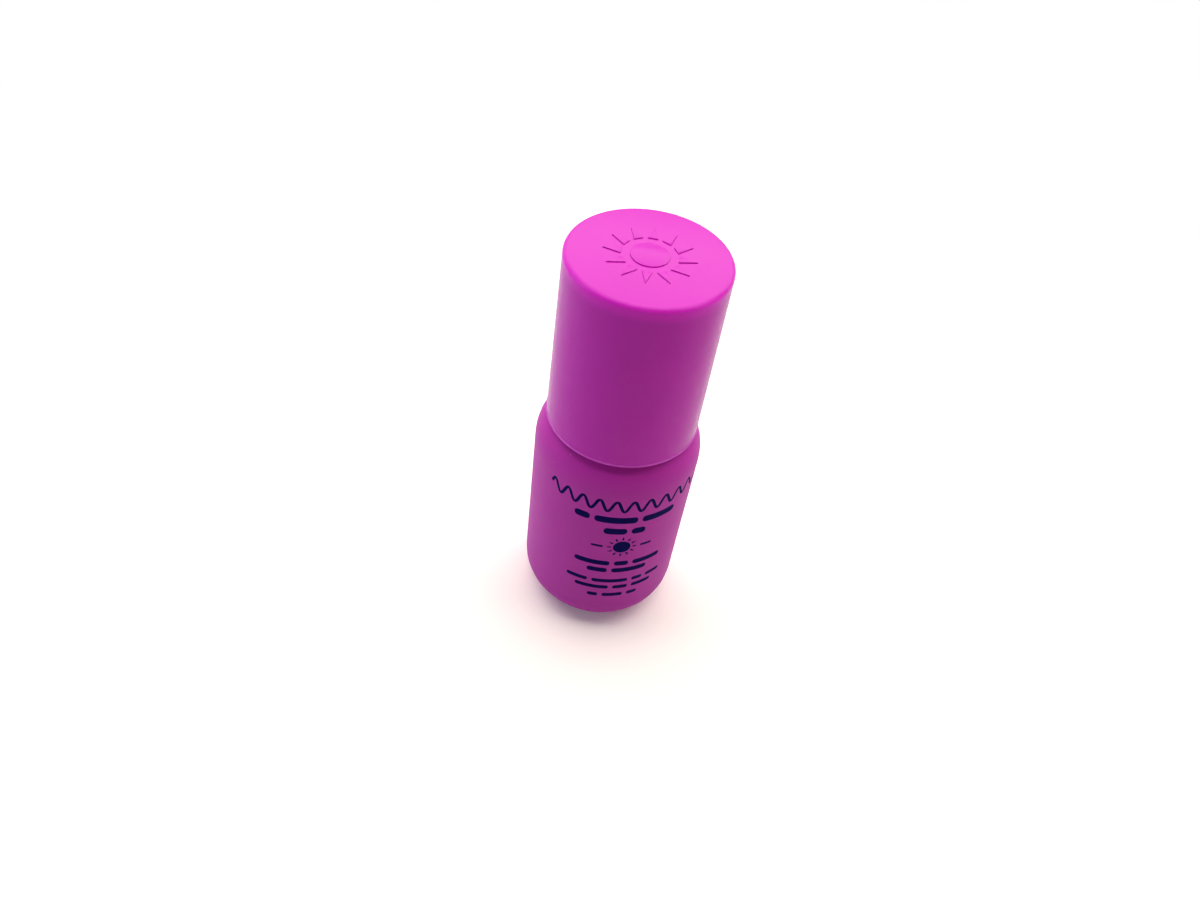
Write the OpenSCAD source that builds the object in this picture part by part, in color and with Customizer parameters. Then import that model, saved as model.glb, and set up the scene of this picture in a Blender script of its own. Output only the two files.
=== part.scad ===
// Small squeeze bottle for a fluid sunscreen, with a press-in nozzle and a tall two-piece screw cap.
// Millimetres, +Z up, origin on the axis in the plane that the bottle stands on.

/* [Bottle] */
// Outer diameter of the body
bottle_d = 26.8; // [25.6:0.2:31]
// Height of the flat deck on top of the shoulder
deck_h = 41.3; // [39.3:0.5:60]
// Radius of the rounded foot
foot_r = 6.5; // [5:0.5:7.5]
// How far the shoulder rounds in
shoulder_w = 4.2; // [3:0.2:5]
// Height over which the shoulder rounds
shoulder_h = 6; // [4:0.5:8]
// Wall thickness of the bottle
bottle_wall = 1; // [0.8:0.1:1.3]
// Height of the hollow pushed up into the base
push_up_h = 0.8; // [0.5:0.1:1.2]
// Width of the flat ring that the bottle stands on
stand_w = 1.7; // [1:0.1:2.5]

/* [Neck] */
// Diameter of the neck between its threads
neck_d = 15.5; // [14.9:0.1:16.1]
// Height of the neck above the deck
neck_h = 11; // [10.5:0.5:13]
// Diameter of the bore through the neck
neck_bore_d = 12.2; // [11:0.2:12.8]
// Diameter of the handling bead below the thread
bead_d = 17.2; // [16.4:0.1:17.4]

/* [Thread] */
// Rise of the thread in one turn
thread_lead = 3.175; // [2.9:0.025:3.4]
// Turns of thread on the neck
thread_turns = 1.5; // [1:0.25:1.75]
// Turns of thread inside the cap
liner_turns = 1.25; // [0.75:0.25:1.25]
// Height of the thread above the neck
thread_depth = 1; // [0.8:0.05:1.1]

/* [Nozzle] */
// Height of the nozzle's tip above the neck's rim
tip_h = 10; // [8:0.5:10.5]
// Diameter of the flange that rests on the neck's rim
flange_d = 14.4; // [13.6:0.2:15]
// Thickness of that flange
flange_t = 1; // [0.8:0.1:1.2]
// Depth of the plug below the neck's rim
plug_depth = 5; // [4:0.5:6]
// Diameter of the spout where it leaves the flange
spout_d = 7.6; // [6.6:0.2:8.4]
// Diameter of the spout at its tip
tip_d = 3.4; // [3:0.2:4]
// Diameter of the hole that the fluid leaves by
orifice_d = 1; // [0.8:0.1:1.4]
// Wall thickness of the nozzle
nozzle_wall = 0.9; // [0.7:0.1:1.1]

/* [Outer cap] */
// Diameter of the cap at its open rim
cap_d = 24; // [23.2:0.2:25.6]
// Diameter of the cap at its top
cap_top_d = 23.5; // [22.8:0.1:25]
// Height of the outer cap, without its relief
cap_h = 29.3; // [28.3:0.2:36]
// Wall thickness of the outer cap
cap_wall = 1.1; // [0.9:0.1:1.3]
// Thickness of the outer cap's top
cap_top_t = 1.3; // [1:0.1:2]
// Radius of the soft edge round the top
cap_edge_r = 0.7; // [0.3:0.1:1.2]
// Height of the sun relief on the top
relief_h = 0.15; // [0.1:0.05:0.3]
// Diameter over the rays of the sun relief
relief_d = 13; // [9:0.5:17]
// Number of rays round the sun
ray_count = 12; // [8:1:16]

/* [Inner cap] */
// Wall thickness of the threaded inner cap
liner_wall = 1.1; // [0.9:0.1:1.3]
// Thickness of the roof that carries the seal
roof_t = 1.2; // [1:0.1:1.6]
// Number of ribs that hold the inner cap in the outer one
rib_count = 8; // [6:1:12]
// Thickness of each rib
rib_t = 1; // [0.8:0.1:1.4]
// Thickness of the ring that closes the gap at the open end
ring_t = 1; // [0.8:0.1:1.4]
// How far that ring sits inside the outer cap's rim
ring_recess = 0.8; // [0.6:0.1:1.4]

/* [Seal and ball] */
// Diameter of the seal's head
seal_head_d = 5.2; // [4.6:0.2:6]
// Thickness of the seal's head
seal_head_t = 1.2; // [1:0.1:1.6]
// Diameter of the stem that turns in the roof
seal_stem_d = 3; // [2.6:0.1:3.4]
// Length of the pin that closes the nozzle
seal_pin_len = 1.5; // [1:0.1:2]
// Diameter of the steel mixing ball
ball_d = 5; // [4:0.5:6]
// Height that the sunscreen is filled to
fill_h = 33.3; // [20:0.5:34.5]

/* [Hidden] */

// Fits and clearances
cap_gap = 0.25;          // under the outer cap's rim, above the deck
thread_clear = 0.25;     // between the crests of one thread and the wall of the other
thread_play = 0.1;       // along the axis, between the flanks of the two threads
bore_press = 0.04;       // squeeze of the nozzle's plug in the neck
bead_press = 0.12;       // squeeze of the plug's two snap beads
rib_press = 0.04;        // squeeze of the inner cap's ribs and ring in the outer cap
pin_clear = 0.08;        // round the seal's pin in the orifice
seal_clear = 0.12;       // round the seal's stem, and above and below the roof
ball_clear = 0.05;       // between the ball and the floor that it lies on
fluid_clear = 0.05;      // between the fluid and what it touches
over = 1;                // overrun of every cut

// Body of the bottle
body_r = bottle_d / 2;
foot_x = body_r - foot_r;
deck_x = body_r - shoulder_w;
shoulder_z = deck_h - shoulder_h;
push_up_r = foot_x - stand_w;
dome_r = (push_up_r * push_up_r + push_up_h * push_up_h) / (2 * push_up_h);
dome_z = push_up_h - dome_r;
seam_w = 0.6;            // pinch-off seam across the base
seam_h = 0.25;
seam_sink = 0.2;
seam_len_share = 0.7;    // of the push-up's diameter

// Neck
neck_r = neck_d / 2;
land_z = deck_h + neck_h;
bore_r = neck_bore_d / 2;
bore_edge = 0.4;         // lead-in at the mouth of the bore
neck_fillet = 0.6;
flare_w = 0.8;
flare_h = 0.6;
bead_rise = 1.7;         // middle of the handling bead, above the deck
bead_z = deck_h + bead_rise;
bead_t = 1.2;
bead_slope = 0.3;

// Threads: widths of the two ridges at root and crest, both run out into the wall
thread_w = 1.8;
thread_crest_w = 0.8;
liner_thread_w = 1.2;
liner_crest_w = 0.6;
thread_sink = 0.3;
thread_top_gap = 1.7;    // from the neck's rim down to the thread's upper end
thread_z = land_z - thread_top_gap - thread_lead * thread_turns;
thread_offset = (thread_w + liner_crest_w) / 2 + thread_play;
thread_start_deg = 45;
liner_start_deg = thread_start_deg + 60;
liner_thread_z = thread_z - thread_offset + thread_lead * (liner_start_deg - thread_start_deg) / 360;
fade_deg = 30;
fade_share = 0.15;       // of a ridge's height that is left at its very ends, under the wall
steps_per_turn = 36;

// Nozzle
plug_r = bore_r + bore_press;
plug_nose = 0.4;         // how far the plug's nose is drawn in
plug_lead = 0.8;         // length of that nose
snap_r = 0.4;            // round of a snap bead
snap_z = land_z - plug_depth / 2;
snap_pitch = 1.6;
spout_z = land_z + flange_t;
tip_z = land_z + tip_h;
spout_fillet = 1.2;
tip_edge_r = 0.4;
spout_taper = (spout_d - tip_d) / 2 / (tip_z - tip_edge_r - spout_z);
spout_root_x = spout_d / 2 - spout_taper * spout_fillet;
channel_len = 2.2;       // length of the narrow orifice
channel_top_r = 0.9;     // inside of the spout where the orifice starts
channel_cone = 0.4;

// Outer cap
rim_z = deck_h + cap_gap;
cap_top_z = rim_z + cap_h;
ceiling_z = cap_top_z - cap_top_t;
rim_edge = 0.25;
inner_edge_r = 0.5;
catch_w = 0.15;          // snap ridge that keeps the inner cap in
catch_h = 0.35;
disc_share = 0.42;       // sun's disc, of the relief's diameter
ray_start_share = 0.6;
ray_w_share = 0.055;

// Inner cap
liner_bore_r = neck_r + thread_depth + thread_clear;
liner_r = liner_bore_r + liner_wall;
liner_crest_r = neck_r + thread_clear;
liner_top_gap = 0.7;     // round the sleeve's top, inside the outer cap
liner_top_r = cap_inside_at(ceiling_z) - liner_top_gap;
liner_taper_z = thread_z + thread_lead * thread_turns + thread_w / 2;
ring_z = rim_z + ring_recess;
roof_z = tip_z + seal_head_t + seal_clear;
lead_in = 0.4;

// Seal
pin_r = orifice_d / 2 - pin_clear;
stem_r = seal_stem_d / 2;
button_lip = 0.6;        // how far the button catches behind the roof
button_point = 0.3;      // how far its tip is drawn in from the stem
button_r = stem_r + button_lip;
button_t = 1.3;
button_tip_r = stem_r - button_point;
button_z = roof_z + roof_t + seal_clear;
pin_tip = 0.2;

// Ball, lying in the groove between the push-up and the foot
ball_r = ball_d / 2;
ball_x = foot_x - stand_w / 2;
ball_z = bottle_wall + ball_clear + ball_r;

$fn = 96;

// Half-plane of a profile to the right of the axis, from height z0 to z1
module right_half(r, z0, z1)
    translate([0, z0])
        square([r, z1 - z0]);

// What a rounded corner of radius r takes away, for a corner at [x, z] that looks along [sx, sz]
module corner(x, z, r, sx, sz)
    translate([x, z])
        mirror([sx > 0 ? 0 : 1, 0])
            mirror([0, sz > 0 ? 0 : 1])
                difference() {
                    translate([-r, -r])
                        square(r + over);
                    translate([-r, -r])
                        circle(r);
                }

// Profile of the body's outside, or of its inside when inset by the wall
module body_profile(inset)
    difference() {
        union() {
            translate([0, inset])
                square([foot_x, shoulder_z - inset]);
            translate([0, foot_r])
                square([body_r - inset, shoulder_z - foot_r]);
            translate([foot_x, foot_r])
                circle(foot_r - inset);
            right_half(deck_x, shoulder_z - over, deck_h - inset);
            intersection() {
                translate([deck_x, shoulder_z])
                    scale([shoulder_w - inset, shoulder_h - inset])
                        circle(1);
                right_half(body_r, shoulder_z - over, deck_h);
            }
        }
        intersection() {
            translate([0, dome_z])
                circle(dome_r + inset);
            right_half(body_r, dome_z, push_up_h + bottle_wall);
        }
        translate([-body_r, 0])
            square([body_r, deck_h]);
    }

// One cross-section of a helical ridge at angle a: foot, crest, crest, foot
function ridge_section(a, z, foot_at, crest_at, foot_width, crest_width) = [
    for (p = [[foot_at, -foot_width], [crest_at, -crest_width], [crest_at, crest_width], [foot_at, foot_width]])
        [p[0] * cos(a), p[0] * sin(a), z + p[1] / 2]
];

// A ridge that climbs a wall, outwards or inwards, and runs out into the wall at both ends
module helical_ridge(foot_at, crest_at, foot_width, crest_width, z, turns, start_deg) {
    steps = round(turns * steps_per_turn);
    sweep = turns * 360;
    points = [
        for (i = [0 : steps])
            let (
                a = sweep * i / steps,
                fade = max(fade_share, min(1, a / fade_deg, (sweep - a) / fade_deg)),
                crest = foot_at + (crest_at - foot_at) * fade
            )
            each ridge_section(start_deg + a, z + thread_lead * a / 360, foot_at, crest, foot_width, crest_width)
    ];
    sides = [
        for (i = [0 : steps - 1], k = [0 : 3])
            let (p = 4 * i + k, q = 4 * i + (k + 1) % 4)
            each [[p, q, p + 4], [q, q + 4, p + 4]]
    ];
    last = 4 * steps;
    ends = [[0, 2, 1], [0, 3, 2], [last, last + 1, last + 2], [last, last + 2, last + 3]];
    outward = crest_at > foot_at;
    faces = [for (f = concat(sides, ends)) outward ? f : [f[2], f[1], f[0]]];
    polyhedron(points, faces);
}

// Blow-moulded bottle with its push-up base, pinch-off seam, hollow inside, neck, bead and thread
module bottle()
    color([0.62, 0.24, 0.57]) {
        rotate_extrude()
            difference() {
                union() {
                    body_profile(0);
                    right_half(neck_r, deck_h - bottle_wall, land_z);
                    neck_root();
                    bead_profile();
                }
                body_profile(bottle_wall);
                right_half(bore_r, deck_h - bottle_wall - over, land_z + over);
                bore_flare();
                mouth_edge();
                corner(neck_r, land_z, bore_edge, 1, 1);
            }
        pinch_seam();
        helical_ridge(neck_r - thread_sink, neck_r + thread_depth, thread_w, thread_crest_w,
            thread_z, thread_turns, thread_start_deg);
    }

// Fillet where the neck rises from the deck
module neck_root()
    difference() {
        translate([neck_r, deck_h])
            square(neck_fillet);
        translate([neck_r + neck_fillet, deck_h + neck_fillet])
            circle(neck_fillet);
    }

// Handling bead round the neck, with sloped flanks
module bead_profile()
    polygon([
        [neck_r - thread_sink, bead_z - bead_t / 2 - bead_slope],
        [neck_r, bead_z - bead_t / 2 - bead_slope],
        [bead_d / 2, bead_z - bead_t / 2],
        [bead_d / 2, bead_z + bead_t / 2],
        [neck_r, bead_z + bead_t / 2 + bead_slope],
        [neck_r - thread_sink, bead_z + bead_t / 2 + bead_slope]
    ]);

// Flare where the bore opens into the body
module bore_flare()
    polygon([
        [0, deck_h - bottle_wall - over],
        [bore_r + flare_w, deck_h - bottle_wall - over],
        [bore_r + flare_w, deck_h - bottle_wall],
        [bore_r, deck_h + flare_h],
        [0, deck_h + flare_h]
    ]);

// Lead-in at the mouth of the bore
module mouth_edge()
    polygon([
        [bore_r - over, land_z - bore_edge - over],
        [bore_r + bore_edge + over, land_z + over],
        [bore_r - over, land_z + over]
    ]);

// Thin ridge that the mould's pinch leaves across the push-up
module pinch_seam()
    intersection() {
        translate([-push_up_r * seam_len_share, -seam_w / 2, 0])
            cube([2 * push_up_r * seam_len_share, seam_w, push_up_h + bottle_wall]);
        translate([0, 0, dome_z])
            difference() {
                sphere(dome_r + seam_sink);
                sphere(dome_r - seam_h);
            }
    }

// Press-in nozzle: plug with two snap beads, flange, tapered spout and narrow orifice
module nozzle()
    color([0.93, 0.93, 0.95])
        rotate_extrude()
            difference() {
                union() {
                    polygon([
                        [0, land_z - plug_depth],
                        [plug_r - plug_nose, land_z - plug_depth],
                        [plug_r, land_z - plug_depth + plug_lead],
                        [plug_r, land_z],
                        [flange_d / 2, land_z],
                        [flange_d / 2, spout_z],
                        [spout_d / 2, spout_z],
                        [tip_d / 2, tip_z - tip_edge_r],
                        [tip_d / 2, tip_z],
                        [0, tip_z]
                    ]);
                    for (side = [-1, 1])
                        translate([plug_r + bead_press - snap_r, snap_z + side * snap_pitch / 2])
                            circle(snap_r);
                    spout_root();
                }
                nozzle_hollow();
                corner(tip_d / 2, tip_z, tip_edge_r, 1, 1);
                corner(flange_d / 2, spout_z, tip_edge_r, 1, 1);
            }

// Fillet between the flange and the spout
module spout_root()
    difference() {
        translate([spout_root_x - spout_fillet, spout_z])
            square([2 * spout_fillet, spout_fillet]);
        translate([spout_root_x + spout_fillet, spout_z + spout_fillet])
            circle(spout_fillet);
    }

// Inside of the nozzle, from the open end of the plug to the orifice
module nozzle_hollow()
    polygon([
        [-over, land_z - plug_depth - over],
        [plug_r - nozzle_wall, land_z - plug_depth - over],
        [plug_r - nozzle_wall, land_z - nozzle_wall],
        [spout_d / 2 - nozzle_wall, spout_z],
        [channel_top_r, tip_z - channel_len - channel_cone],
        [orifice_d / 2, tip_z - channel_len],
        [orifice_d / 2, tip_z + over],
        [-over, tip_z + over]
    ]);

// Tapered space inside the outer cap, grown by a squeeze
module cap_space(squeeze)
    difference() {
        polygon([
            [0, rim_z - over],
            [cap_inside_at(rim_z - over) + squeeze, rim_z - over],
            [cap_inside_at(ceiling_z) + squeeze, ceiling_z],
            [0, ceiling_z]
        ]);
        corner(cap_inside_at(ceiling_z) + squeeze, ceiling_z, inner_edge_r, 1, 1);
    }

function cap_outside_at(z) = cap_d / 2 + (cap_top_d - cap_d) / 2 * (z - rim_z) / cap_h;
function cap_inside_at(z) = cap_outside_at(z) - cap_wall;

// Plain outer cap with a slight taper, soft top edge, fine rim and a low sun relief
module outer_cap()
    color([0.78, 0.27, 0.74]) {
        rotate_extrude()
            difference() {
                polygon([
                    [0, rim_z],
                    [cap_d / 2 - rim_edge, rim_z],
                    [cap_d / 2, rim_z + rim_edge],
                    [cap_top_d / 2, cap_top_z],
                    [0, cap_top_z]
                ]);
                difference() {
                    cap_space(0);
                    catch_profile();
                }
                corner(cap_top_d / 2, cap_top_z, cap_edge_r, 1, 1);
            }
        sun_relief();
    }

// Snap ridge just below the inner cap's ring
module catch_profile()
    polygon([
        [cap_inside_at(ring_z - catch_h) + cap_wall / 2, ring_z - catch_h],
        [cap_inside_at(ring_z - catch_h), ring_z - catch_h],
        [cap_inside_at(ring_z) - catch_w, ring_z],
        [cap_inside_at(ring_z) + cap_wall / 2, ring_z]
    ]);

// Plain sun on top of the cap: a disc with tapered rays
module sun_relief()
    translate([0, 0, cap_top_z - cap_top_t / 2])
        linear_extrude(cap_top_t / 2 + relief_h) {
            circle(d = relief_d * disc_share);
            for (i = [0 : ray_count - 1])
                rotate(i * 360 / ray_count)
                    polygon([
                        [relief_d / 2 * ray_start_share, -relief_d / 2 * ray_w_share],
                        [relief_d / 2, 0],
                        [relief_d / 2 * ray_start_share, relief_d / 2 * ray_w_share]
                    ]);
        }

// Threaded inner cap with its closing ring, ribs up the outside and a roof that carries the seal
module inner_cap()
    color([0.9, 0.88, 0.9]) {
        difference() {
            union() {
                intersection() {
                    rotate_extrude()
                        cap_space(rib_press);
                    union() {
                        inner_cap_ribs();
                        translate([0, 0, ring_z])
                            cylinder(h = ring_t, r = cap_d / 2);
                    }
                }
                rotate_extrude()
                    sleeve_profile(0, ring_z, ceiling_z);
            }
            rotate_extrude()
                liner_hollow();
        }
        helical_ridge(liner_bore_r + thread_sink, liner_crest_r, liner_thread_w, liner_crest_w,
            liner_thread_z, liner_turns, liner_start_deg);
    }

// Ribs from the sleeve out to the outer cap
module inner_cap_ribs()
    for (i = [0 : rib_count - 1])
        rotate(i * 360 / rib_count)
            translate([0, -rib_t / 2, ring_z])
                cube([cap_d / 2, rib_t, ceiling_z - ring_z]);

// Radius of the sleeve's outside: straight round the neck, then with draft up to the outer cap's top
function sleeve_at(z) = liner_r + (liner_top_r - liner_r) * (z - liner_taper_z) / (ceiling_z - liner_taper_z);

// Profile of the sleeve between two heights, of its outside or, when inset by the wall, of its bore
module sleeve_profile(inset, z0, z1)
    intersection() {
        polygon([
            [0, ring_z - over],
            [liner_r - inset, ring_z - over],
            [liner_r - inset, liner_taper_z],
            [sleeve_at(ceiling_z + over) - inset, ceiling_z + over],
            [0, ceiling_z + over]
        ]);
        right_half(cap_d / 2, z0, z1);
    }

// Open space of the inner cap: below the roof, through it for the seal's stem, and above it
module liner_hollow() {
    sleeve_profile(liner_wall, ring_z - over, roof_z);
    polygon([
        [0, ring_z - over],
        [liner_bore_r + lead_in + over, ring_z - over],
        [liner_bore_r, ring_z + lead_in],
        [0, ring_z + lead_in]
    ]);
    right_half(stem_r + seal_clear, roof_z - over, roof_z + roof_t + over);
    sleeve_profile(liner_wall, roof_z + roof_t, ceiling_z + over);
}

// Soft seal that turns freely in the roof and whose pin closes the orifice
module seal_plug()
    color([0.97, 0.97, 0.97])
        rotate_extrude()
            polygon([
                [0, tip_z - seal_pin_len],
                [pin_r - pin_tip, tip_z - seal_pin_len],
                [pin_r, tip_z - seal_pin_len + pin_tip],
                [pin_r, tip_z],
                [seal_head_d / 2, tip_z],
                [seal_head_d / 2, tip_z + seal_head_t],
                [stem_r, tip_z + seal_head_t],
                [stem_r, button_z],
                [button_r, button_z],
                [button_tip_r, button_z + button_t],
                [0, button_z + button_t]
            ]);

// Steel ball that stirs the fluid when the bottle is shaken
module mixing_ball()
    color([0.75, 0.76, 0.78])
        translate([ball_x, 0, ball_z])
            sphere(ball_r);

// The sunscreen, filled to below the shoulder, with room for the ball
module sunscreen_fluid()
    color([0.96, 0.91, 0.84])
        difference() {
            rotate_extrude()
                intersection() {
                    body_profile(bottle_wall + fluid_clear);
                    right_half(body_r, 0, fill_h);
                }
            translate([ball_x, 0, ball_z])
                sphere(ball_r + 2 * fluid_clear);
        }

bottle();
nozzle();
inner_cap();
outer_cap();
seal_plug();
mixing_ball();
sunscreen_fluid();
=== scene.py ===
# Small squeeze bottle for a fluid sunscreen: its looks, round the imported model, on a white table.
import math

import bmesh
import bpy
from mathutils import Matrix, Vector


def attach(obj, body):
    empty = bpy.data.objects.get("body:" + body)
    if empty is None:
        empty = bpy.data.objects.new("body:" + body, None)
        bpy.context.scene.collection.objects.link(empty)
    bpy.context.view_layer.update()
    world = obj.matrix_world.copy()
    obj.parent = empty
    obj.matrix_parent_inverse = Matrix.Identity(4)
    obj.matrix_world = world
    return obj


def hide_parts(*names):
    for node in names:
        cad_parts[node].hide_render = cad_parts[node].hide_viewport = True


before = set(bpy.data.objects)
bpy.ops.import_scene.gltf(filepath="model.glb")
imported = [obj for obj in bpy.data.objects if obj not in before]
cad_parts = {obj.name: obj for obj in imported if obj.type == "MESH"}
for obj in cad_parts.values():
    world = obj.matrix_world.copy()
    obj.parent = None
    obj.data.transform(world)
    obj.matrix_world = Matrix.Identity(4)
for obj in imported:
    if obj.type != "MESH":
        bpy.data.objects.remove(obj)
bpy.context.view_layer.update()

MM = 0.001
FULL_TURN = 2 * math.pi

# ---- Sizes of the part, in millimetres, as its source has them
BODY_R = 13.4
DECK_Z = 41.3
SHOULDER_X, SHOULDER_Z = 9.2, 35.3
FOOT_R = 6.5
WALL = 1.0
PUSH_UP_H, PUSH_UP_X = 0.8, 5.2
PUSH_UP_ARC = 2.66          # where the tangents of the push-up's dome meet
NECK_R, LAND_Z, BORE_R = 7.75, 52.3, 6.1
THREAD_LEAD, THREAD_DEPTH = 3.175, 1.0
THREAD_CLEAR = 0.25         # between a thread's crest and the wall that it passes
THREAD_SUNK = 0.3           # how far a thread reaches into its own wall
NECK_THREAD_Z, LINER_THREAD_Z = 45.84, 45.07
TIP_Z = 62.3
RIM_Z, CAP_TOP_Z, CEILING_Z = 41.55, 70.85, 69.55
CAP_RIM_R, CAP_TOP_R, CAP_WALL = 12.0, 11.75, 1.1
RING_Z = 42.35
ROOF_Z, ROOF_T = 63.62, 1.2
SLEEVE_R, SLEEVE_TOP_R, SLEEVE_BEND_Z = 10.1, 9.96, 51.5
SLEEVE_WALL = 1.1
RIBS = 8

# ---- Sizes that only the looks have, in millimetres
INK = 0.02                  # how far the body's skin is set in, which leaves room for the print
SEAT = 0.01                 # how far a seated piece stands off what carries it
CAP_LIP, CAP_LIP_H = 0.12, 0.42

# ---- Fineness of the meshes
TURN_STEPS = 224            # to a full turn of a wide piece
FINE_STEPS = 96             # to a full turn of a narrow one
THREAD_STEPS = 96           # to a full turn of a thread
ROUND_STEPS = 8             # to a rounded corner of a profile
WELD = 0.0005               # millimetres between points that become one
SHARP_DEG = 32              # edges that bend further stay sharp
FULL, WHOLE_PERCENT = "full", 100


# ---- Shapes
def turn(shell, angle):
    """Turns a shell about the bottle's axis, or a flat sheet about its middle."""
    bmesh.ops.rotate(
        shell, verts=shell.verts[:], cent=(0, 0, 0), matrix=Matrix.Rotation(angle, 3, "Z"))


def shift(shell, x, y, z, points=None):
    """Moves a shell, or some of its points, by millimetres."""
    bmesh.ops.translate(shell, vec=(x * MM, y * MM, z * MM), verts=points or shell.verts[:])


def soften(shell, places, radius, steps, affect="EDGES"):
    """Rounds edges of a shell, or corners of a flat sheet."""
    bmesh.ops.bevel(
        shell, geom=places, offset=radius * MM, offset_type="OFFSET", segments=steps, profile=0.5,
        affect=affect, material=-1)


def spin(shell, angle, steps, rise=0, merge=True):
    """Sweeps a profile round the bottle's axis; rise is in metres a step."""
    bmesh.ops.spin(
        shell, geom=shell.verts[:] + shell.edges[:], cent=(0, 0, 0), axis=(0, 0, 1),
        dvec=(0, 0, rise), angle=angle, steps=steps, use_merge=merge, use_normal_flip=False,
        use_duplicate=False)


def profile(shell, corners, closed=False, steps=ROUND_STEPS):
    """Draws a profile beside the axis. A corner is radius, height and, if it is rounded, its radius
    of rounding; FULL rounds it all the way to both its neighbours."""
    points = [shell.verts.new((corner[0] * MM, 0, corner[1] * MM)) for corner in corners]
    for pair in zip(points, points[1:] + points[:1] if closed else points[1:]):
        shell.edges.new(pair)
    for point, corner in zip(points, corners):
        if len(corner) > 2:
            whole = corner[2] == FULL
            bmesh.ops.bevel(
                shell, geom=[point], offset=WHOLE_PERCENT if whole else corner[2] * MM,
                offset_type="PERCENT" if whole else "OFFSET", segments=steps, profile=0.5,
                affect="VERTICES", material=-1, clamp_overlap=False)


def close(shell):
    """Welds a shell's seam and poles and points its faces outwards."""
    bmesh.ops.remove_doubles(shell, verts=shell.verts[:], dist=WELD * MM)
    bmesh.ops.dissolve_degenerate(shell, edges=shell.edges[:], dist=WELD * MM)
    bmesh.ops.recalc_face_normals(shell, faces=shell.faces[:])
    return shell


def turned(corners, closed=False, steps=TURN_STEPS):
    """A shell turned on the bottle's axis."""
    shell = bmesh.new()
    profile(shell, corners, closed)
    spin(shell, FULL_TURN, steps)
    return close(shell)


def thread(foot, crest, foot_width, crest_width, start_z, turns, start_deg, edge):
    """A helical ridge on a round wall, which runs out into the wall at both ends."""
    edge_steps = 3
    fade_turns = 30 / 360
    least = 0.15            # share of its height that the ridge keeps at its ends
    shell = bmesh.new()
    profile(shell, [
        (foot, start_z - foot_width / 2), (crest, start_z - crest_width / 2, edge),
        (crest, start_z + crest_width / 2, edge), (foot, start_z + foot_width / 2),
    ], closed=True, steps=edge_steps)
    turn(shell, math.radians(start_deg))
    section = len(shell.verts)
    spin(
        shell, FULL_TURN * turns, round(THREAD_STEPS * turns), THREAD_LEAD * MM / THREAD_STEPS,
        merge=False)
    for count, point in enumerate(shell.verts):
        along = (count // section) / THREAD_STEPS
        height = max(least, min(1, along / fade_turns, (turns - along) / fade_turns))
        reach = point.co.xy.length
        new_reach = foot * MM + (reach - foot * MM) * height
        point.co.xy *= new_reach / reach
    bmesh.ops.holes_fill(shell, edges=[side for side in shell.edges if side.is_boundary], sides=0)
    return close(shell)


def box(x, y, z):
    """A block round the origin, with its sizes in millimetres."""
    block = bmesh.new()
    bmesh.ops.create_cube(block, size=MM)
    bmesh.ops.scale(block, vec=(x, y, z), verts=block.verts[:])
    return block


def flat_square(strips=1):
    """A flat square round the origin, 1 mm each way, cut into strips."""
    square = bmesh.new()
    bmesh.ops.create_grid(square, x_segments=strips, y_segments=1, size=MM / 2)
    return square


def flat_disc(radius, steps):
    """A flat disc round the origin."""
    disc = bmesh.new()
    bmesh.ops.create_circle(disc, cap_ends=True, segments=steps, radius=radius * MM)
    return disc


def joined(*shells):
    """Several closed shells as the mesh of one piece."""
    whole = shells[0]
    for shell in shells[1:]:
        carrier = bpy.data.meshes.new("carrier")
        shell.to_mesh(carrier)
        shell.free()
        whole.from_mesh(carrier)
        bpy.data.meshes.remove(carrier)
    return whole


def piece(name, shell, body, finish, replaced=()):
    """Makes a piece of the bottle, with its finish, and lets it ride on its body."""
    data = bpy.data.meshes.new(name)
    shell.to_mesh(data)
    shell.free()
    data.shade_smooth()
    data.set_sharp_from_angle(angle=math.radians(SHARP_DEG))
    data.materials.append(finish)
    made = bpy.data.objects.new(name, data)
    bpy.context.scene.collection.objects.link(made)
    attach(made, body)
    if replaced:
        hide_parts(*replaced)


# ---- Finishes
class Signal:
    """A number, colour or vector in a material. Sums on it add Math nodes."""

    def __init__(self, nodes, socket):
        self.nodes, self.socket = nodes, socket

    def maths(self, operation, *values):
        return self.nodes.node("ShaderNodeMath", {"operation": operation}, dict(enumerate(values)))

    def __add__(self, other):
        return self.maths("ADD", self, other)

    def __sub__(self, other):
        return self.maths("SUBTRACT", self, other)

    def __rsub__(self, other):
        return self.maths("SUBTRACT", other, self)

    def __mul__(self, other):
        return self.maths("MULTIPLY", self, other)

    __radd__, __rmul__ = __add__, __mul__

    def either(self, other):
        return self.maths("MAXIMUM", self, other)

    def above(self, level, soft):
        """0 below level and 1 above it, with a soft step between."""
        return self.nodes.node(
            "ShaderNodeMapRange", {"interpolation_type": "SMOOTHSTEP"},
            {0: self, 1: level - soft, 2: level + soft, 3: 0, 4: 1})

    def below(self, level, soft):
        return 1 - self.above(level, soft)


class Nodes:
    """The shader nodes of a material, or of the world."""

    def __init__(self, owner):
        owner.use_nodes = True
        self.owner, self.tree = owner, owner.node_tree
        self.tree.nodes.clear()

    def node(self, kind, settings, sockets, output=0):
        made = self.tree.nodes.new(kind)
        for setting, value in settings.items():
            setattr(made, setting, value)
        for socket, value in sockets.items():
            if isinstance(value, Signal):
                self.tree.links.new(value.socket, made.inputs[socket])
            else:
                made.inputs[socket].default_value = value
        return Signal(self, made.outputs[output]) if made.outputs else None

    def ray(self, kind):
        """1 for rays of one kind, and 0 for all others."""
        return self.node("ShaderNodeLightPath", {}, {}, "Is %s Ray" % kind)

    def seen(self):
        """1 for what the camera, a reflection or a clear piece looks at, and 0 for other light."""
        return self.ray("Camera").either(self.ray("Glossy")).either(self.ray("Transmission"))


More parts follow.
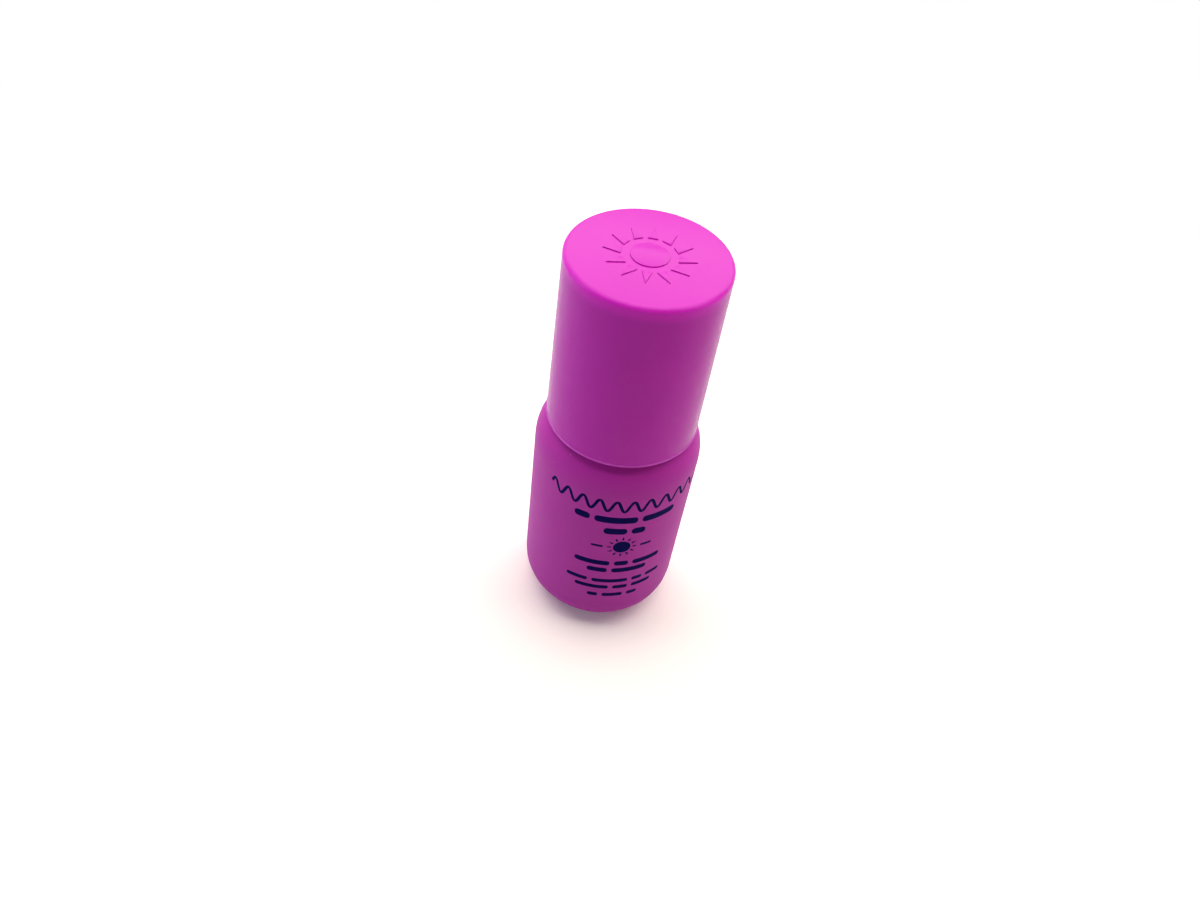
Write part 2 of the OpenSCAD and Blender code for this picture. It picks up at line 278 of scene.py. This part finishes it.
class Finish(Nodes):
    """A procedural material whose patterns lie in the bottle's own coordinates."""

    def __init__(self, name):
        super().__init__(bpy.data.materials.new(name))
        self.place = self.node("ShaderNodeTexCoord", {}, {}, "Object")

    def noise(self, size_mm, detail=2, place=None):
        """Noise from 0 to 1, whose largest shapes are about size_mm wide."""
        return self.node(
            "ShaderNodeTexNoise", {},
            {"Vector": place or self.place, "Scale": 1 / (size_mm * MM), "Detail": detail})

    def stretched(self, x, y, z):
        """Object coordinates that make a pattern longer or shorter along each axis."""
        return self.node("ShaderNodeMapping", {}, {"Vector": self.place, "Scale": (x, y, z)})

    def mix(self, share, first, second):
        """Mixes two colours."""
        return self.node(
            "ShaderNodeMix", {"data_type": "RGBA"}, {0: share, 6: first, 7: second}, 2)

    def blend(self, share, first, second):
        """Mixes two shaders."""
        return self.node("ShaderNodeMixShader", {}, {0: share, 1: first, 2: second})

    def relief(self, height, depth_mm):
        """The bump of a surface whose height goes from 0 to 1 over depth_mm."""
        return self.node(
            "ShaderNodeBump", {}, {"Height": height, "Distance": depth_mm * MM, "Strength": 1.0})

    def specks(self, spacing_mm, size_mm, share):
        """Scattered round specks: 1 in a speck and 0 between them."""
        hard = 0.001
        sockets = {"Vector": self.place, "Scale": 1 / (spacing_mm * MM), "Randomness": 1.0}
        reach = self.node("ShaderNodeTexVoronoi", {}, sockets, "Distance")
        lot = self.node("ShaderNodeTexVoronoi", {}, sockets, "Color")
        chosen = self.node("ShaderNodeSeparateColor", {}, {0: lot}, 0).above(1 - share, hard)
        size = size_mm / spacing_mm
        return reach.below(size, size / 2) * chosen

    def done(self, colour, roughness, relief, **looks):
        """Ends the material in a Principled shader; looks are its other sockets, plain values."""
        sockets = {"Base Color": colour, "Roughness": roughness, "Normal": relief}
        for socket, value in looks.items():
            sockets[socket.replace("_", " ").title().replace("Ior", "IOR")] = value
        shader = self.node("ShaderNodeBsdfPrincipled", {}, sockets)
        self.node("ShaderNodeOutputMaterial", {}, {"Surface": shader})
        return self.owner


# A pair is the two colours that a finish drifts between.
CAP_PINKS = (0.685, 0.0120, 0.552, 1), (0.735, 0.0145, 0.597, 1)
# painted light: the lighter pink of a glow painted below the cap's top edge, standing in for light
# scattered in from the lit top
CAP_PAINTED_GLOW_PINK = (0.97, 0.016, 0.76, 1)
# painted highlight: the pale colour of a line of light painted along the cap's rim
CAP_RIM_HIGHLIGHT = (1.0, 0.13, 0.9, 1)
BODY_PINKS = (0.608, 0.0275, 0.468, 1), (0.650, 0.0295, 0.500, 1)
DUST = (0.80, 0.55, 0.76, 1)
NAVY, NAVY_THIN = (0.0015, 0.0005, 0.095, 1), (0.010, 0.001, 0.135, 1)
NOZZLE_MILKY = (0.72, 0.74, 0.77, 1), (0.80, 0.81, 0.83, 1)
LINER_WHITES = (0.72, 0.70, 0.72, 1), (0.79, 0.77, 0.79, 1)
SEAL_WHITES = (0.76, 0.76, 0.73, 1), (0.83, 0.83, 0.80, 1)
STEELS = (0.62, 0.63, 0.65, 1), (0.53, 0.54, 0.56, 1)
CREAMS = (0.78, 0.66, 0.52, 1), (0.84, 0.73, 0.59, 1)


def cap_finish():
    """Moulded polypropylene: glossy, with a faint orange peel, a painted highlight along the rim
    and a painted glow, a lighter pink, just below the top edge."""
    rim_highlight_soft = 0.04
    glow_depth, glow_soft = 1.5, 1.1
    crown = 0.15            # half the height in which the painted glow ends below the flat top
    cap = Finish("cap_polypropylene")
    cloud, peel = cap.noise(6, 3), cap.noise(0.45, 2)
    height = cap.node("ShaderNodeSeparateXYZ", {}, {"Vector": cap.place}, "Z")
    # painted highlight: the rim's lip is painted pale, unevenly, as a line of light along it
    lip = height.below((RIM_Z + CAP_LIP_H) * MM, rim_highlight_soft * MM)
    painted_rim_highlight = lip * (0.4 + cap.noise(0.9, 2) * 0.5)
    # painted light: a band below the top edge is painted a lighter pink, as if the lit top glowed
    # into the wall
    glow_band_low = height.above((CAP_TOP_Z - glow_depth) * MM, glow_soft * MM)
    painted_edge_glow = glow_band_low * height.below((CAP_TOP_Z - crown) * MM, crown * MM)
    colour = cap.mix(painted_edge_glow, cap.mix(cloud, *CAP_PINKS), CAP_PAINTED_GLOW_PINK)
    return cap.done(
        cap.mix(painted_rim_highlight, colour, CAP_RIM_HIGHLIGHT), 0.17 + cloud * 0.08,
        cap.relief(peel * 0.6 + cloud * 3, 0.0012), specular_ior_level=0.19)


def body_finish():
    """Soft-touch lacquer: matt, with a fine grain, a faint sheen and a few specks of dust."""
    body = Finish("body_soft_touch")
    cloud, grain = body.noise(5, 3), body.noise(0.16, 2)
    dust = body.specks(2.2, 0.07, 0.22)
    colour = body.mix(cloud, *BODY_PINKS)
    return body.done(
        body.mix(dust * 0.6, colour, DUST), 0.5 + cloud * 0.1 + dust * 0.2,
        body.relief(grain * 0.4 + cloud * 3 + dust * 4, 0.0015),
        specular_ior_level=0.19, sheen_weight=0.05, sheen_roughness=0.5)


def ink_finish():
    """Screen-printed ink: dark blue, a little thin in places."""
    ink = Finish("print_ink")
    thin = ink.noise(0.35, 3).above(0.62, 0.06)
    return ink.done(
        ink.mix(thin * 0.5, NAVY, NAVY_THIN), 0.6 + thin * 0.15, ink.relief(ink.noise(0.12), 0.001),
        specular_ior_level=0.03)


def nozzle_finish():
    """Natural polyethylene: milky, waxy and slightly clear at its thin tip."""
    nozzle = Finish("nozzle_polyethylene")
    cloud = nozzle.noise(2.5, 3)
    return nozzle.done(
        nozzle.mix(cloud, *NOZZLE_MILKY), 0.36 + cloud * 0.12,
        nozzle.relief(nozzle.noise(0.2) + cloud * 3, 0.0015),
        subsurface_weight=0.35, subsurface_scale=0.002, specular_ior_level=0.4)


def liner_finish():
    """White polypropylene, with the faint rings that its turned mould leaves."""
    liner = Finish("liner_polypropylene")
    cloud = liner.noise(3, 3)
    rings = liner.noise(0.3, 1, liner.stretched(0.02, 0.02, 1))
    return liner.done(
        liner.mix(cloud, *LINER_WHITES), 0.3 + cloud * 0.12, liner.relief(rings + cloud * 2, 0.001),
        specular_ior_level=0.4)


def seal_finish():
    """Soft white sealing elastomer, matt and a little grainy."""
    seal = Finish("seal_elastomer")
    grain = seal.noise(0.12, 3)
    return seal.done(
        seal.mix(seal.noise(1.5), *SEAL_WHITES), 0.6 + grain * 0.15, seal.relief(grain, 0.003),
        sheen_weight=0.1, specular_ior_level=0.35)


def ball_finish():
    """Polished stainless steel with fine tumbling marks."""
    ball = Finish("ball_steel")
    marks = ball.noise(0.1, 3, ball.stretched(1, 0.2, 1)).above(0.6, 0.08)
    return ball.done(
        ball.mix(marks, *STEELS), 0.12 + marks * 0.15, ball.relief(marks, 0.0008), metallic=1.0)


def fluid_finish():
    """Opaque cream-coloured fluid with a wet gloss."""
    fluid = Finish("sunscreen_cream")
    cloud = fluid.noise(4, 3)
    return fluid.done(
        fluid.mix(cloud, *CREAMS), 0.12 + cloud * 0.1, fluid.relief(cloud, 0.01),
        subsurface_weight=0.2, subsurface_scale=0.003)


# ---- Bottle
def bottle_shell():
    """Body with its rounded foot and shoulder, push-up, neck, handling bead and hollow inside."""
    skin, inside, ceiling = BODY_R - INK, BODY_R - WALL, DECK_Z - WALL
    dome_round = 2.3        # of the push-up's dome, along its tangents
    floor_x = 5.35          # where the inner dome meets the inner floor
    floor_arc = 2.735       # where that dome's tangents meet
    ring_edge, neck_fillet, rim_edge, inner_edge = 0.25, 0.6, 0.35, 0.2
    bead_low, bead_high, bead_r = 42.4, 43.6, 8.6
    bead_slope, bead_root, bead_edge = 0.3, 0.15, 0.2
    chamfer, chamfer_edge = 0.4, 0.1
    flare_x, flare_h, flare_edge = 0.8, 0.6, 0.3
    return turned([
        (0, PUSH_UP_H), (PUSH_UP_ARC, PUSH_UP_H, dome_round), (PUSH_UP_X, 0, ring_edge),
        (skin, 0, FOOT_R - INK), (skin, SHOULDER_Z), (skin, DECK_Z, FULL), (SHOULDER_X, DECK_Z),
        (NECK_R, DECK_Z, neck_fillet), (NECK_R, bead_low - bead_slope, bead_root),
        (bead_r, bead_low, bead_edge), (bead_r, bead_high, bead_edge),
        (NECK_R, bead_high + bead_slope, bead_root), (NECK_R, LAND_Z, rim_edge),
        (BORE_R + chamfer, LAND_Z, chamfer_edge), (BORE_R, LAND_Z - chamfer, chamfer_edge),
        (BORE_R, DECK_Z + flare_h, flare_edge), (BORE_R + flare_x, ceiling, inner_edge),
        (SHOULDER_X, ceiling), (inside, ceiling, FULL), (inside, SHOULDER_Z),
        (inside, WALL, FOOT_R - WALL), (floor_x, WALL, inner_edge),
        (floor_arc, PUSH_UP_H + WALL, dome_round), (0, PUSH_UP_H + WALL),
    ])


def pinch_seam():
    """The low ridge that the mould's pinch leaves across the push-up."""
    length, width, height, middle_z = 7.2, 0.6, 0.34, 0.62
    long_edge, cuts = 2, 12
    dome_r = 17.3           # of the push-up
    lower_z, corner_rad, edge, edge_steps = 0.6, 1, 0.08, 2
    seam = box(length, width, height)
    shift(seam, 0, 0, middle_z)
    bmesh.ops.subdivide_edges(
        seam, edges=[side for side in seam.edges if side.calc_length() > long_edge * MM], cuts=cuts)
    for point in seam.verts:
        point.co.z -= (point.co.x / MM) ** 2 / (2 * dome_r) * MM
    soften(seam, [
        side for side in seam.edges
        if all(point.co.z < lower_z * MM for point in side.verts)
        and side.calc_face_angle(0) > corner_rad
    ], edge, edge_steps)
    return close(seam)


piece(
    "bottle_shell",
    joined(
        bottle_shell(),
        thread(
            foot=NECK_R - THREAD_SUNK, crest=NECK_R + THREAD_DEPTH, foot_width=1.8, crest_width=0.8,
            start_z=NECK_THREAD_Z, turns=1.5, start_deg=45, edge=0.2),
        pinch_seam(),
    ),
    "bottle_body", body_finish(), ["bottle"])


# ---- Print on the body, drawn flat and wrapped round it
PRINT_AZIMUTH = 16.0        # degrees to the right of the front
WORD_GAP = 0.75
PRINT_LINES = (             # height of the line's middle, height of its bars, lengths of its bars
    (30.6, 1.45, (2.6, 7.0, 6.0)),
    (27.85, 1.45, (3.8, 2.3)),
    (19.3, 1.15, (6.0, 2.4, 5.1)),
    (17.35, 1.15, (3.4, 6.1)),
    (14.3, 0.9, (3.7, 6.2, 1.9, 2.9)),
    (12.45, 0.9, (5.8, 2.6, 3.7)),
    (10.2, 0.9, (1.8, 3.6, 1.9)),
)
WAVE_Z, WAVE_HEIGHT, WAVE_WEIGHT, WAVE_LENGTH, WAVE_COUNT = 33.9, 1.15, 0.5, 2.7, 10
MOTIF_Z = 23.8


def flat_bar(sheet, middle_x, z, length, height):
    """A bar with rounded ends."""
    round_share, end_steps = 0.42, 5
    bar = flat_square()
    bmesh.ops.scale(bar, vec=(length, height, 1), verts=bar.verts[:])
    soften(bar, bar.verts[:], height * round_share, end_steps, "VERTICES")
    shift(bar, middle_x, z, 0)
    return joined(sheet, bar)


def flat_wave(sheet):
    """A thin wavy line across the top of the print."""
    steps = 28              # to a wave
    wave = flat_square(steps * WAVE_COUNT)
    reach = WAVE_COUNT * WAVE_LENGTH
    for point in wave.verts:
        x = point.co.x / MM * reach
        phase = x / WAVE_LENGTH * FULL_TURN
        slope = WAVE_HEIGHT * FULL_TURN / WAVE_LENGTH * math.cos(phase)
        side = math.copysign(WAVE_WEIGHT / 2, point.co.y) / math.hypot(1, slope)
        middle = WAVE_Z + WAVE_HEIGHT * math.sin(phase)
        point.co = ((x - side * slope) * MM, (middle + side) * MM, 0)
    return joined(sheet, wave)


def flat_sun(sheet):
    """A plain sun between two short rules."""
    disc_r, disc_steps = 1.45, 48
    rays, ray_from, ray_to, root_width, tip_width = 12, 1.8, 2.5, 0.42, 0.16
    rule_x, rule_length, rule_weight = 4.1, 2.0, 0.5
    disc = flat_disc(disc_r, disc_steps)
    shift(disc, 0, MOTIF_Z, 0)
    sheet = joined(sheet, disc)
    for count in range(rays):
        ray = flat_square()
        for point in ray.verts:
            x, width = (ray_to, tip_width) if point.co.x > 0 else (ray_from, root_width)
            point.co = (x * MM, point.co.y * width, 0)
        turn(ray, FULL_TURN * count / rays)
        shift(ray, 0, MOTIF_Z, 0)
        sheet = joined(sheet, ray)
    for side in (-1, 1):
        sheet = flat_bar(sheet, side * rule_x, MOTIF_Z, rule_length, rule_weight)
    return sheet


def wrapped(sheet):
    """Cuts the flat print into narrow strips, thickens it to a film and wraps it round the body."""
    reach, strip = 14.0, 0.45   # half the width that is cut, and the width of a strip
    film = INK * 1.5        # two thirds of it are sunk in the body
    for count in range(round(2 * reach / strip)):
        bmesh.ops.bisect_plane(
            sheet, geom=sheet.verts[:] + sheet.edges[:] + sheet.faces[:], dist=WELD * MM,
            plane_co=((count * strip - reach) * MM, 0, 0), plane_no=(1, 0, 0))
    bmesh.ops.recalc_face_normals(sheet, faces=sheet.faces[:])
    for face in sheet.faces:
        if face.normal.z < 0:
            face.normal_flip()
    bmesh.ops.solidify(sheet, geom=sheet.faces[:], thickness=film * MM)
    bmesh.ops.recalc_face_normals(sheet, faces=sheet.faces[:])
    highest = max(point.co.z for point in sheet.verts)
    for point in sheet.verts:
        angle = math.radians(PRINT_AZIMUTH) + point.co.x / (BODY_R * MM)
        radius = (BODY_R - INK / 2) * MM + point.co.z - highest
        point.co = (radius * math.sin(angle), -radius * math.cos(angle), point.co.y)
    return sheet


def front_print():
    """All that is printed on the body, as one film."""
    sheet = flat_sun(flat_wave(bmesh.new()))
    for z, height, bars in PRINT_LINES:
        start = -(sum(bars) + WORD_GAP * (len(bars) - 1)) / 2
        for length in bars:
            sheet = flat_bar(sheet, start + length / 2, z, length, height)
            start += length + WORD_GAP
    return wrapped(sheet)


piece("front_print", front_print(), "bottle_body", ink_finish())


# ---- Cap
def cap_outside(z):
    """Radius of the cap's tapered outside at a height."""
    return CAP_RIM_R + (CAP_TOP_R - CAP_RIM_R) * (z - RIM_Z) / (CAP_TOP_Z - RIM_Z)


def outer_cap():
    """Plain tapered shell, closed at the top, with the fine lip of its mould round the rim."""
    top_edge, rim_edge, inner_fillet, lip_root, lip_edge = 0.7, 0.15, 0.5, 0.04, 0.06
    wall_r, lip_r = CAP_RIM_R - CAP_LIP / 2, CAP_RIM_R + CAP_LIP / 2
    return turned([
        (0, CAP_TOP_Z), (CAP_TOP_R, CAP_TOP_Z, top_edge), (wall_r, RIM_Z + CAP_LIP_H, lip_root),
        (lip_r, RIM_Z + CAP_LIP_H - CAP_LIP, lip_edge), (lip_r, RIM_Z, rim_edge),
        (CAP_RIM_R - CAP_WALL, RIM_Z, rim_edge),
        (cap_outside(CEILING_Z) - CAP_WALL, CEILING_Z, inner_fillet), (0, CEILING_Z),
    ])


def raised(outline):
    """Raises a flat outline from the cap's top and softens its upper edge."""
    height, sunk, edge, edge_steps = 0.15, 0.1, 0.06, 3
    shift(outline, 0, 0, CAP_TOP_Z - sunk)
    grown = bmesh.ops.extrude_face_region(outline, geom=outline.faces[:])
    upper = [item for item in grown["geom"] if isinstance(item, bmesh.types.BMVert)]
    shift(outline, 0, 0, height + sunk, upper)
    soften(outline, [
        side for side in outline.edges if all(point in upper for point in side.verts)
    ], edge, edge_steps)
    return close(outline)


def sun_relief():
    """Plain raised sun on the cap's top: a disc with tapered rays."""
    reach, rays, disc_steps = 6.5, 12, 96
    disc_share, root_share, half_width_share = 0.42, 0.6, 0.11
    root, half_width = reach * root_share, reach * half_width_share
    shells = [raised(flat_disc(reach * disc_share, disc_steps))]
    for count in range(rays):
        ray = bmesh.new()
        corners = [(root, -half_width), (reach, 0), (root, half_width)]
        ray.faces.new([ray.verts.new((x * MM, y * MM, 0)) for x, y in corners])
        turn(ray, FULL_TURN * count / rays)
        shells.append(raised(ray))
    return shells


piece(
    "cap_shell",
    joined(outer_cap(), *sun_relief()),
    "cap", cap_finish(), ["outer_cap"])


# ---- Threaded liner inside the cap
def sleeve_at(z):
    """Radius of the sleeve's outside at a height."""
    return SLEEVE_R + (SLEEVE_TOP_R - SLEEVE_R) * (z - SLEEVE_BEND_Z) / (CEILING_Z - SLEEVE_BEND_Z)


def liner_shell():
    """Sleeve with its closing ring at the open end and the roof that carries the seal."""
    lead_in, lead_edge, ring_gap, ring_h, ring_root, end_gap = 0.4, 0.12, 0.03, 1.0, 0.2, 0.02
    hole, roof_fillet, back_fillet, edge, fine_edge = 1.62, 0.5, 0.3, 0.15, 0.1
    bore = SLEEVE_R - SLEEVE_WALL
    ring_x, ring_top = CAP_RIM_R - CAP_WALL - ring_gap, RING_Z + ring_h
    roof_top, end = ROOF_Z + ROOF_T, CEILING_Z - end_gap
    return turned([
        (bore + lead_in, RING_Z, lead_edge), (bore, RING_Z + lead_in, lead_edge),
        (bore, SLEEVE_BEND_Z), (sleeve_at(ROOF_Z) - SLEEVE_WALL, ROOF_Z, roof_fillet),
        (hole, ROOF_Z, edge), (hole, roof_top, edge),
        (sleeve_at(roof_top) - SLEEVE_WALL, roof_top, back_fillet),
        (sleeve_at(end) - SLEEVE_WALL, end, fine_edge), (sleeve_at(end), end, fine_edge),
        (SLEEVE_R, SLEEVE_BEND_Z), (SLEEVE_R, ring_top, ring_root), (ring_x, ring_top, fine_edge),
        (ring_x, RING_Z, edge),
    ], closed=True)


def liner_rib(count):
    """A rib from the sleeve out to the cap."""
    sunk, width, low_gap, high_gap, edge, edge_steps = 0.5, 1.0, 0.5, 0.6, 0.12, 2
    inner, outer = SLEEVE_TOP_R - sunk, cap_outside(CEILING_Z) - CAP_WALL
    low, high = RING_Z + low_gap, CEILING_Z - high_gap
    rib = box(outer - inner, width, high - low)
    soften(rib, rib.edges[:], edge, edge_steps)
    shift(rib, (outer + inner) / 2, 0, (high + low) / 2)
    turn(rib, FULL_TURN * count / RIBS)
    return close(rib)


piece(
    "cap_liner",
    joined(
        liner_shell(),
        thread(
            foot=SLEEVE_R - SLEEVE_WALL + THREAD_SUNK, crest=NECK_R + THREAD_CLEAR, foot_width=1.2,
            crest_width=0.6, start_z=LINER_THREAD_Z, turns=1.25, start_deg=105, edge=0.15),
        *[liner_rib(count) for count in range(RIBS)],
    ),
    "cap", liner_finish(), ["inner_cap"])


# ---- Nozzle and seal
def nozzle_shell():
    """Press-in nozzle: plug with two snap beads, flange, tapered spout and narrow orifice."""
    plug, plug_in, plug_h, seat = 6.08, 5.2, 5, LAND_Z + SEAT
    lead_in, lead_in_h, slope, bead = 0.4, 0.8, 0.3, 6.22
    flange, flange_z, spout, spout_in, funnel_z = 7.2, 53.3, 3.8, 2.9, 51.4
    tip, tip_low, orifice, orifice_low, throat, throat_top = 1.7, 61.9, 0.5, 60.1, 0.9, 59.7
    root, lips, fine, bead_edge, end_edge = 0.05, 0.08, 0.1, 0.12, 0.15     # radii of rounding
    soft, round_edge, fillet = 0.3, 0.4, 1.1
    low = LAND_Z - plug_h
    crests = low + 1.7, low + 3.3
    beads = [
        corner for crest_z in crests for corner in (
            (plug, crest_z - slope, fine), (bead, crest_z, bead_edge),
            (plug, crest_z + slope, fine))]
    return turned([
        (plug - lead_in, low, end_edge), (plug, low + lead_in_h, soft), *beads, (plug, seat, root),
        (flange, seat, bead_edge), (flange, flange_z, round_edge), (spout, flange_z, fillet),
        (tip, tip_low), (tip, TIP_Z, round_edge), (orifice, TIP_Z, lips),
        (orifice, orifice_low, fine), (throat, throat_top, fine), (spout_in, flange_z, soft),
        (plug_in, funnel_z, round_edge), (plug_in, low, end_edge),
    ], closed=True, steps=FINE_STEPS)


def seal_shell():
    """Soft seal: pin, head, stem and the button that keeps it in the roof."""
    pin, nose, pin_low, nose_top, seat = 0.42, 0.34, TIP_Z - 1.5, TIP_Z - 1.3, TIP_Z + SEAT
    head, head_top, stem = 2.6, TIP_Z + 1.2, 1.5
    button, button_z, button_h, crown = 2.1, 64.94, 1.3, 1.2
    root, pin_edge, fine, thin_edge = 0.05, 0.08, 0.1, 0.12     # radii of rounding
    edge, head_edge, crown_edge = 0.15, 0.25, 0.3
    return turned([
        (0, pin_low), (nose, pin_low, thin_edge), (pin, nose_top, pin_edge), (pin, seat, root),
        (head, seat, edge), (head, head_top, head_edge), (stem, head_top, edge),
        (stem, button_z, fine), (button, button_z, thin_edge),
        (crown, button_z + button_h, crown_edge), (0, button_z + button_h),
    ], steps=FINE_STEPS)


piece("nozzle_plug", nozzle_shell(), "bottle_body", nozzle_finish(), ["nozzle"])
piece("seal", seal_shell(), "seal", seal_finish(), ["seal_plug"])

# ---- Ball and fluid keep their CAD shapes
for node, finish in (("mixing_ball", ball_finish()), ("sunscreen_fluid", fluid_finish())):
    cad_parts[node].data.materials.clear()
    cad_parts[node].data.materials.append(finish)


# ---- Table, light and camera
TABLE_HALF = 3              # metres from its middle to its edge
TABLE_GAP = 0.02            # millimetres under the bottle, so that no two faces lie in one plane
TABLE_NEAR, TABLE_FADE = 0.17, 0.07     # metres to where its white turns plain, and how softly
TABLE_BOUNCE = (0.8, 0.8, 0.8)          # its colour for the light that it sends to the bottle
TABLE_MIRRORED = (0.9, 0.9, 0.9)        # its colour in reflections
TABLE_WHITE = (1.27, 1.14, 1.12)        # its colour to the camera
TABLE_GLOW = 0.1                        # added to that
AMBIENT = 0.01              # strength of the light from all round
LAMPS = (                   # name, place and size in metres, power, tint
    ("lamp_back", (0, 0.54, 0.53), (1.3, 0.32), 3.1, (1, 0.98, 0.84)),
    ("lamp_above", (0, 0.12, 0.7), (1.5, 0.5), 6.85, (0.99, 0.99, 0.9)),
    ("lamp_back_left", (-0.6, 0.35, 0.32), (0.5, 0.5), 0.3, (0.9, 0.94, 1)),
    ("lamp_left", (-0.7, -0.1, 0.2), (0.4, 0.4), 0.8, (0.52, 0.88, 1)),
    ("lamp_right", (0.7, -0.1, 0.2), (0.4, 0.4), 0.32, (0.96, 1, 0.94)),
)
LAMP_AIM = (0, 0, 0.035)

PHOTO_W, PHOTO_H = 1200, 900
FOCAL_PX = 905.9
AIM_Z, AIM_PX = 0.031, (614.7, 455.9)   # a point on the axis, and where the picture has it
EYE_REACH, EYE_RISE_DEG, EYE_ROLL_DEG = 0.15011, 46.90, 10.02   # of the camera, from that point
SENSOR_MM = 36
NEAREST = 0.01              # metres from the camera to the nearest thing that it shows


def table():
    """A wide white table, which keeps the bottle's shadow and is plain white farther off."""
    sheet = bmesh.new()
    bmesh.ops.create_grid(sheet, x_segments=1, y_segments=1, size=TABLE_HALF)
    data = bpy.data.meshes.new("table_top")
    sheet.to_mesh(data)
    sheet.free()
    top = bpy.data.objects.new("table_top", data)
    top.location.z = -TABLE_GAP * MM
    bpy.context.scene.collection.objects.link(top)
    white = Finish("table_white")
    bounce, mirrored, near = (
        white.node("ShaderNodeBsdfDiffuse", {}, {"Color": (*level, 1)})
        for level in (TABLE_BOUNCE, TABLE_MIRRORED, TABLE_WHITE))
    glow, plain = (
        white.node("ShaderNodeEmission", {}, {"Strength": level}) for level in (TABLE_GLOW, 1.0))
    reach = white.node("ShaderNodeVectorMath", {"operation": "LENGTH"}, {0: white.place}, "Value")
    lit = white.node("ShaderNodeAddShader", {}, {0: near, 1: glow})
    lit = white.blend(white.ray("Camera"), mirrored, lit)
    lit = white.blend(reach.above(TABLE_NEAR, TABLE_FADE), lit, plain)
    shown = white.blend(white.seen(), bounce, lit)
    white.node("ShaderNodeOutputMaterial", {}, {"Surface": shown})
    data.materials.append(white.owner)


def surroundings():
    """Faint even light from all round, and plain white to the eye and in reflections."""
    studio = Nodes(bpy.data.worlds.new("studio"))
    level = studio.seen() * (1 - AMBIENT) + AMBIENT
    sky = studio.node("ShaderNodeBackground", {}, {"Color": (1, 1, 1, 1), "Strength": level})
    studio.node("ShaderNodeOutputWorld", {}, {"Surface": sky})
    bpy.context.scene.world = studio.owner


def softbox(name, place, size, power, tint):
    """A soft rectangular light that faces the bottle."""
    data = bpy.data.lights.new(name, "AREA")
    data.shape = "RECTANGLE"
    data.size, data.size_y = size
    data.energy = power
    data.color = tint
    lamp = bpy.data.objects.new(name, data)
    lamp.rotation_euler = (Vector(LAMP_AIM) - Vector(place)).to_track_quat("-Z", "Y").to_euler()
    lamp.location = place
    lamp.visible_camera = False
    bpy.context.scene.collection.objects.link(lamp)


def photo_camera():
    """The camera that was fitted to the outlines of the cap and body in the photograph."""
    data = bpy.data.cameras.new("photo_camera")
    data.sensor_width = SENSOR_MM
    data.lens = FOCAL_PX / PHOTO_W * SENSOR_MM
    data.clip_start = NEAREST
    rise = math.radians(EYE_RISE_DEG)
    level = Matrix((
        (1, 0, 0), (0, -math.sin(rise), -math.cos(rise)), (0, math.cos(rise), -math.sin(rise))))
    across = math.atan2(AIM_PX[0] - PHOTO_W / 2, FOCAL_PX)
    down = math.atan2(AIM_PX[1] - PHOTO_H / 2, math.hypot(FOCAL_PX, AIM_PX[0] - PHOTO_W / 2))
    seen = (Matrix.Rotation(across, 3, "Y") @ Matrix.Rotation(-down, 3, "X")
            @ Matrix.Rotation(math.radians(EYE_ROLL_DEG), 3, "Z") @ level)
    camera = bpy.data.objects.new("photo_camera", data)
    bpy.context.scene.collection.objects.link(camera)
    axes = Matrix((seen[0], -seen[1], -seen[2])).transposed().to_4x4()
    eye = (0, -EYE_REACH * math.cos(rise), AIM_Z + EYE_REACH * math.sin(rise))
    camera.matrix_world = Matrix.Translation(eye) @ axes
    bpy.context.scene.camera = camera


table()
surroundings()
for lamp in LAMPS:
    softbox(*lamp)
photo_camera()
bpy.context.scene.view_settings.view_transform = "Standard"
